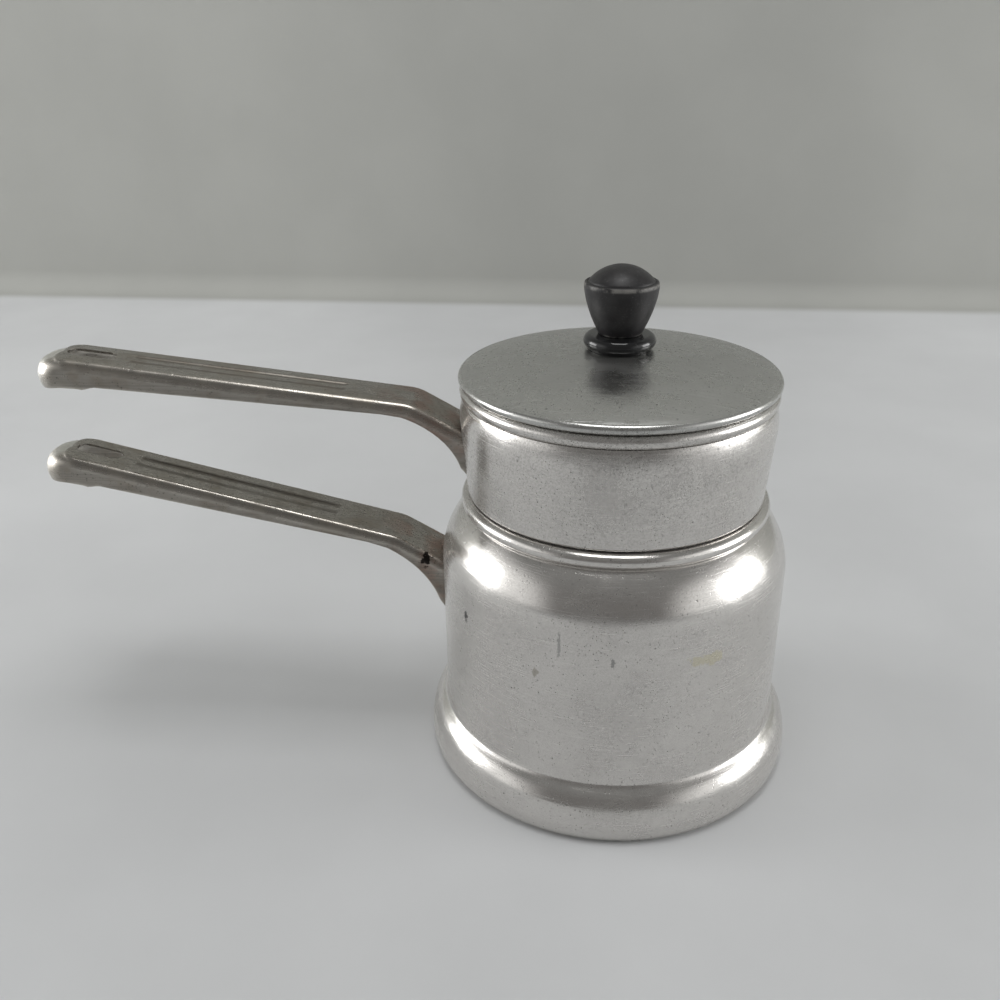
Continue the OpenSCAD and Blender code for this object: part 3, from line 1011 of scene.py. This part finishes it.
    def under(self, t):
        """The hollow lower edge from the wall (0) to the run (1)."""
        r = self.wall(self.root_z - self.tail)
        foot = (r + 0.1, self.root_z - self.tail)
        pull = (r + 3.3, self.root_z - 1.5 - (self.tail - 14.6) * 0.75)
        knee = self.on(self.SLOPE, 0.5, -5)
        toe = self.on(self.rise, self.FREE, -self.depth(self.FREE))
        if t < 0.75:
            return Vector(curve(foot, pull, knee, 60)[round(t / 0.75 * 60)])
        return knee.lerp(toe, (t - 0.75) / 0.25)

    def wall_x(self, across, z):
        """How far out the pot's wall is, just clear of it."""
        r = self.wall(z) + 0.03
        return math.sqrt(r * r - across * across)

    def at_wall(self, across, height):
        """Where a column meets the pot's wall, going down the root's slope."""
        along = Vector((math.cos(self.SLOPE), math.sin(self.SLOPE)))
        start = self.on(self.SLOPE, 0, height)
        back = 15.0
        for _ in range(12):
            p = start - along * back
            back += (p.x - self.wall_x(across, p.y)) / along.x
        return start - along * back

    def place(self, i, j):
        """The point of station i and column j, in millimetres."""
        last = len(self.stations) - 1
        if i > last:
            return self.nose_point(i - last - 1, j)
        kind, value = self.stations[i]
        u = value if kind == "run" else 0
        section = self.section(u)
        across, height = section[j]
        leg_from = self.webs + 2 * self.FILLET - 1
        top_height = section[min(j, leg_from)][1]
        if kind == "root":
            tip = self.at_wall(across, top_height)
            end = self.on(self.SLOPE, -self.tangent, top_height)
            p = tip.lerp(end, value)
        else:
            base, up = self.frame_at(kind, value)
            p = base + up * (height if kind == "run" else top_height)
        if j > leg_from and (kind != "run" or u <= self.FREE):
            q = (j - leg_from) / self.LEG
            low = self.under(self.share_of(i))
            if i == 0:
                low.x = self.wall_x(across, low.y)
            p = p.lerp(low, q)
            if i == 0:
                p.x = self.wall_x(across, p.y)
        return Vector((p.x, across, p.y))

    def share_of(self, i):
        """How far station i is from the wall to the start of the run's leg."""
        kind, value = self.stations[i]
        reach = self.PATH - self.tangent
        if kind == "root":
            done = reach * value
        elif kind == "bend":
            done = reach + 2 * self.tangent * value
        else:
            done = self.PATH + value
        return min(1, done / (self.PATH + self.FREE - 0.4))

    def nose_point(self, k, j):
        """A point on the rays that fan round the slot's far end."""
        edge = Vector(self.nose[k])
        pole = Vector((self.slot_far, 0))
        ray = (edge - pole).normalized()
        reach = (edge - pole).length
        turn = math.atan2(ray.x, ray.y) / (math.pi / 2)
        w = turn * turn * (3 - 2 * turn)
        rim = [
            (a[0] * (1 - w) + b[0] * w, a[1] * (1 - w) + b[1] * w)
            for a, b in zip(self.side_profile(9.4 + 2.2 * w), self.front_profile())
        ]
        if j >= self.webs:
            inward, height = rim[j - self.webs]
            flat = pole + ray * (reach - inward)
        else:
            top = reach - rim[0][0] - self.slot_r
            span = top * self.WEB[j] / self.FLAT
            flat = pole + ray * (self.slot_r + span)
            start = -0.35 * (self.slot_r / self.CROWN) ** 2
            height = start + (rim[0][1] - start) * (span / top) ** 2
        base, up = self.frame_at("run", flat.x)
        p = base + up * height
        return Vector((p.x, flat.y, p.y))

    def rubbed(self, i, j):
        """How rubbed a crossing is: up to 1 on rounded edges, 2 on the nose, where the
        brightening is wear and a painted highlight.
        """
        crease = self.webs + self.FILLET / 2 - 0.5
        shoulder = self.webs + self.FILLET * 1.5 - 0.5
        near = min(
            abs(j - crease) / 3, abs(j - shoulder) / 3, abs(j - self.columns + 1) / 1.5
        )
        past = (i - len(self.stations) - 4) / 8
        nose = min(1, max(0, past)) if j > self.webs + 4 else 0
        return max(2 * nose, 1 - near, 0.0)

    def painted_shade(self, i, j):
        """How much painted shade a crossing gets: the flute's edges, the side's lower part
        and a line round the nose's notch.
        """
        if j < self.webs:
            kind, u = self.stations[min(i, len(self.stations) - 1)]
            fluted = kind == "run" and 22 < u < self.run - 31
            return 1.0 if fluted and 2 <= j <= 7 else 0.0
        down = (j - self.webs - self.FILLET) / (self.FILLET + self.LEG)
        if i > len(self.stations) + 6:
            return 0.2 if 2 <= j - self.webs <= 4 else 0.0
        return 0.5 * min(1, max(0, down * 1.6))


def stamped(name, channel, turn):
    """Builds one handle from its form: half of the sheet, mirrored, thickened,
    with its edges broken, and the plate that lies on the wall."""
    count = len(channel.stations) + len(channel.nose)
    piece = laid(name, count - 1, channel.columns - 1, channel.place)
    # Stores the wear on rounded edges and nose, and the painted shade in the flute's edges
    # and down the sides.
    for kind, amount in (("rubbed", channel.rubbed), ("painted_shade", channel.painted_shade)):
        stored = piece.data.attributes.new(kind, "FLOAT", "POINT")
        for index, entry in enumerate(stored.data):
            entry.value = amount(index % count, index // count)
    back = next(f for f in piece.data.polygons if abs(f.normal.z) > 0.8)
    if back.normal.z < 0:
        edit_all()
        bpy.ops.mesh.flip_normals()
        bpy.ops.object.mode_set(mode="OBJECT")
    sides = (False, True, False)
    apply(piece, "MIRROR", use_axis=sides, use_clip=True, merge_threshold=1e-5)
    sheet = channel.sheet_t * MM
    apply(piece, "SOLIDIFY", thickness=sheet, offset=-1, use_even_offset=True)
    sharp = {"limit_method": "ANGLE", "angle_limit": math.radians(55)}
    apply(piece, "BEVEL", width=0.2 * MM, segments=2, **sharp)
    plate = root_plate(name + "_plate", channel)
    begin()
    plate.select_set(True)
    piece.select_set(True)
    bpy.context.view_layer.objects.active = piece
    bpy.ops.object.join()
    piece.rotation_euler.z = math.pi + turn
    bpy.ops.object.transform_apply(rotation=True)
    return piece


def root_plate(name, channel):
    """The curved plate under the channel's end, where the rivets go through,
    a little thinner than the sheet so that it stays clear of both sides."""
    rows, columns, gap = 10, 20, 0.04
    low = channel.root_z - channel.tail + 0.8
    high = channel.root_z - 1.0
    half = channel.half - 1.0

    def place(i, j):
        z = low + (high - low) * i / rows
        y = -half + 2 * half * j / columns
        r = channel.wall(z) + gap
        return Vector((math.sqrt(r * r - y * y), y, z))

    plate = laid(name, rows, columns, place)
    side = -1 if plate.data.polygons[0].normal.x < 0 else 1
    sheet = (channel.sheet_t - 0.06) * MM
    apply(plate, "SOLIDIFY", thickness=sheet, offset=side, use_even_offset=True)
    edit_all()
    close()
    return plate


class BOILER_OT_handles(bpy.types.Operator):
    """Stamps both handles from sheet: back, flute, slot, sides and nose"""

    bl_idname = "boiler.handles"
    bl_label = "Handles"

    def execute(self, context):
        scene = context.scene
        sizes = in_mm(scene.boiler_handle)
        pot = in_mm(scene.boiler_pot)
        pan = in_mm(scene.boiler_pan)
        tint = scene.boiler_finishes.handle
        metal = plated_steel("handle_plated", tint)
        burnt = plated_steel("handle_stained", tint)
        burnt.mark(
            (-0.062, -0.0099, 0.0699), (0.0021, 0.002, 0.0027), (0.012, 0.01, 0.01), 0.95
        )
        low = (pan.low_r, pot.neck_z + SEAT_GAP + 1.2)
        high = (pan.swell_r - 0.2, pan.rim_z - CONE_DROP)
        lean = (high[0] - low[0]) / (high[1] - low[1])

        def pot_wall(z):
            return pot.wall_r

        def pan_wall(z):
            return low[0] + lean * (z - low[1])

        rises = scene.boiler_handle
        lower = Channel(sizes, pot_wall, pot.neck_z - 26.2, rises.pot_rise, 17.3)
        upper = Channel(sizes, pan_wall, pan.rim_z - 15.2, rises.inset_rise, 14.6)
        piece = stamped("pot_grip", lower, 0)
        finished(piece, "pot_body", "pot_handle", (burnt,), crease=30)
        piece = stamped("inset_grip", upper, scene.boiler_pan.turn)
        finished(piece, "inset_body", "inset_handle", (metal,), crease=30)
        return {"FINISHED"}


class BOILER_OT_fasteners(bpy.types.Operator):
    """Gives the rivets, the washer and the screw their metals"""

    bl_idname = "boiler.fasteners"
    bl_label = "Rivets and screw"

    def execute(self, context):
        f = context.scene.boiler_finishes
        dull = plain_steel("rivet_dull", f.rivet, 0.4)
        steel = plain_steel("screw_plain", f.screw, 0.32)
        for name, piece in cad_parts.items():
            if "rivet" in name or name in ("knob_washer", "knob_screw"):
                piece.data.materials.clear()
                metal = dull if "rivet" in name else steel
                piece.data.materials.append(metal.material)
        return {"FINISHED"}


class BOILER_OT_stage(bpy.types.Operator):
    """Lays the floor, sets the light and places the camera"""

    bl_idname = "boiler.stage"
    bl_label = "Stage"

    # Where the camera stands, and what the lamps point at, in metres
    CAMERA_AT = (0, -0.30257, 0.23216)
    AIM = (0, 0, 0.08)

    def execute(self, context):
        s = context.scene.boiler_stage
        self.lay_floor(s)
        self.set_world(context)
        self.set_lamps(s)
        self.set_camera(context, s)
        context.scene.view_settings.view_transform = "Standard"
        return {"FINISHED"}

    def lay_floor(self, s):
        """Sweeps a floor up into a wall behind the pots, with painted shade on the wall and
        on the floor towards the front, and painted light on the floor at both sides.
        """
        width, front, height, sweep = 4.4, 12000, 3000, 20
        depth = s.depth / MM
        outline = joined(
            [(-front, 0), (0, 0)],
            arc((depth - sweep, sweep), sweep, -90, 0, 8),
            [(depth, height)],
        )
        floor = drawn("floor", outline, (0, 1))
        bpy.ops.mesh.extrude_region_move(TRANSFORM_OT_translate={"value": (width, 0, 0)})
        edit_all()
        bpy.ops.transform.translate(value=(-width / 2, 0, 0))
        bpy.ops.object.mode_set(mode="OBJECT")
        bpy.ops.object.shade_smooth()
        m = Surface("floor_pale")
        mottle = m.ramp(m.noise(9.0, 4.0), 0.3, 0.7, 0.97, 1.03)
        # Painted shade: the floor grows darker from below the camera towards the front.
        near = m.ramp(m.y, -0.9, -0.3, 0.62, 1)
        # Painted shade: the floor turns into the darker wall colour where it sweeps up.
        up = m.ramp(m.y, s.depth - 0.04, s.depth - 0.015)
        # Painted light: the floor brighter at both sides, as lit by the windows.
        painted_side_light = m.ramp(m.calc("ABSOLUTE", m.x), 0.08, 0.35, 1, 1.16)
        shade = m.times(m.times(mottle, near), painted_side_light)
        m.wire("Base Color", m.vector("MULTIPLY", m.blend(up, s.floor, s.wall), shade))
        m.set("Roughness", 0.85)
        m.bump(m.noise(900.0, 3.0), 0.00005, 0.3)
        floor.data.materials.append(m.material)

    def set_world(self, context):
        """Lights the room evenly: bright at both sides, dim above and before."""
        world = bpy.data.worlds.new("soft_room")
        context.scene.world = world
        world.use_nodes = True
        m = Nodes(world.node_tree)
        way = m.node("TexCoord", {}).outputs["Generated"]
        x, _, z = m.node("SeparateXYZ", {0: way}).outputs
        side = m.ramp(m.calc("ABSOLUTE", x), 0.5, 0.92)
        tone = m.blend(side, (0.18, 0.175, 0.17), (1.08, 1.08, 1.07))
        tone = m.blend(m.ramp(z, 0.4, 0.75), tone, (0.22, 0.22, 0.215))
        back = m.tree.nodes["Background"]
        m.tree.links.new(tone, back.inputs["Color"])
        back.inputs["Strength"].default_value = 1.0

    def set_lamps(self, s):
        """Hangs a window on each side and one lamp overhead."""
        spots = (
            ("window_left", (-2.3, 0.12, 0.46), 1.24, 1.0, s.lamp),
            ("window_right", (2.3, 0.08, 0.48), 1.24, 1.0, s.lamp),
            ("top", (0, -0.12, 1.5), 0.7, 0.7, s.top_lamp),
        )
        for name, where, wide, tall, strength in spots:
            bpy.ops.object.light_add(type="AREA", location=where)
            lamp = bpy.context.object
            lamp.name = name
            lamp.data.shape = "RECTANGLE"
            lamp.data.size = wide
            lamp.data.size_y = tall
            lamp.data.energy = strength
            aim = Vector(self.AIM) - Vector(where)
            lamp.rotation_euler = aim.to_track_quat("-Z", "Y").to_euler()

    def set_camera(self, context, s):
        bpy.ops.object.camera_add(location=self.CAMERA_AT)
        camera = context.object
        camera.name = "camera"
        camera.data.lens = s.lens
        camera.data.sensor_width = 36
        turn = (
            Matrix.Rotation(s.yaw, 4, "Z")
            @ Matrix.Rotation(math.pi / 2 - s.pitch, 4, "X")
            @ Matrix.Rotation(s.roll, 4, "Z")
        )
        camera.rotation_euler = turn.to_euler()
        camera.data.clip_start = 0.01
        context.scene.camera = camera


# Panel


GROUPS = {
    "boiler_pot": PotSizes,
    "boiler_pan": PanSizes,
    "boiler_lid": LidSizes,
    "boiler_handle": HandleSizes,
    "boiler_finishes": Finishes,
    "boiler_stage": StageSettings,
}
OPERATORS = (
    BOILER_OT_lower_pot,
    BOILER_OT_inset_pan,
    BOILER_OT_lid,
    BOILER_OT_knob,
    BOILER_OT_handles,
    BOILER_OT_fasteners,
    BOILER_OT_stage,
)


class BOILER_PT_panel(bpy.types.Panel):
    """Lists the sizes, the finishes and the steps"""

    bl_label = "Double boiler"
    bl_idname = "BOILER_PT_panel"
    bl_space_type = "VIEW_3D"
    bl_region_type = "UI"
    bl_category = "Boiler"

    def draw(self, context):
        for key, group in GROUPS.items():
            box = self.layout.box()
            box.label(text=group.__doc__)
            for name in group.__annotations__:
                box.prop(getattr(context.scene, key), name)
        for step in OPERATORS:
            self.layout.operator(step.bl_idname)


CLASSES = (*GROUPS.values(), *OPERATORS, BOILER_PT_panel)


def register():
    for made in CLASSES:
        bpy.utils.register_class(made)
    for key, group in GROUPS.items():
        setattr(bpy.types.Scene, key, bpy.props.PointerProperty(type=group))


def unregister():
    for key in GROUPS:
        delattr(bpy.types.Scene, key)
    for made in reversed(CLASSES):
        bpy.utils.unregister_class(made)


def main():
    register()
    for step in OPERATORS:
        getattr(bpy.ops.boiler, step.bl_idname.split(".")[1])()


if __name__ == "__main__":
    main()
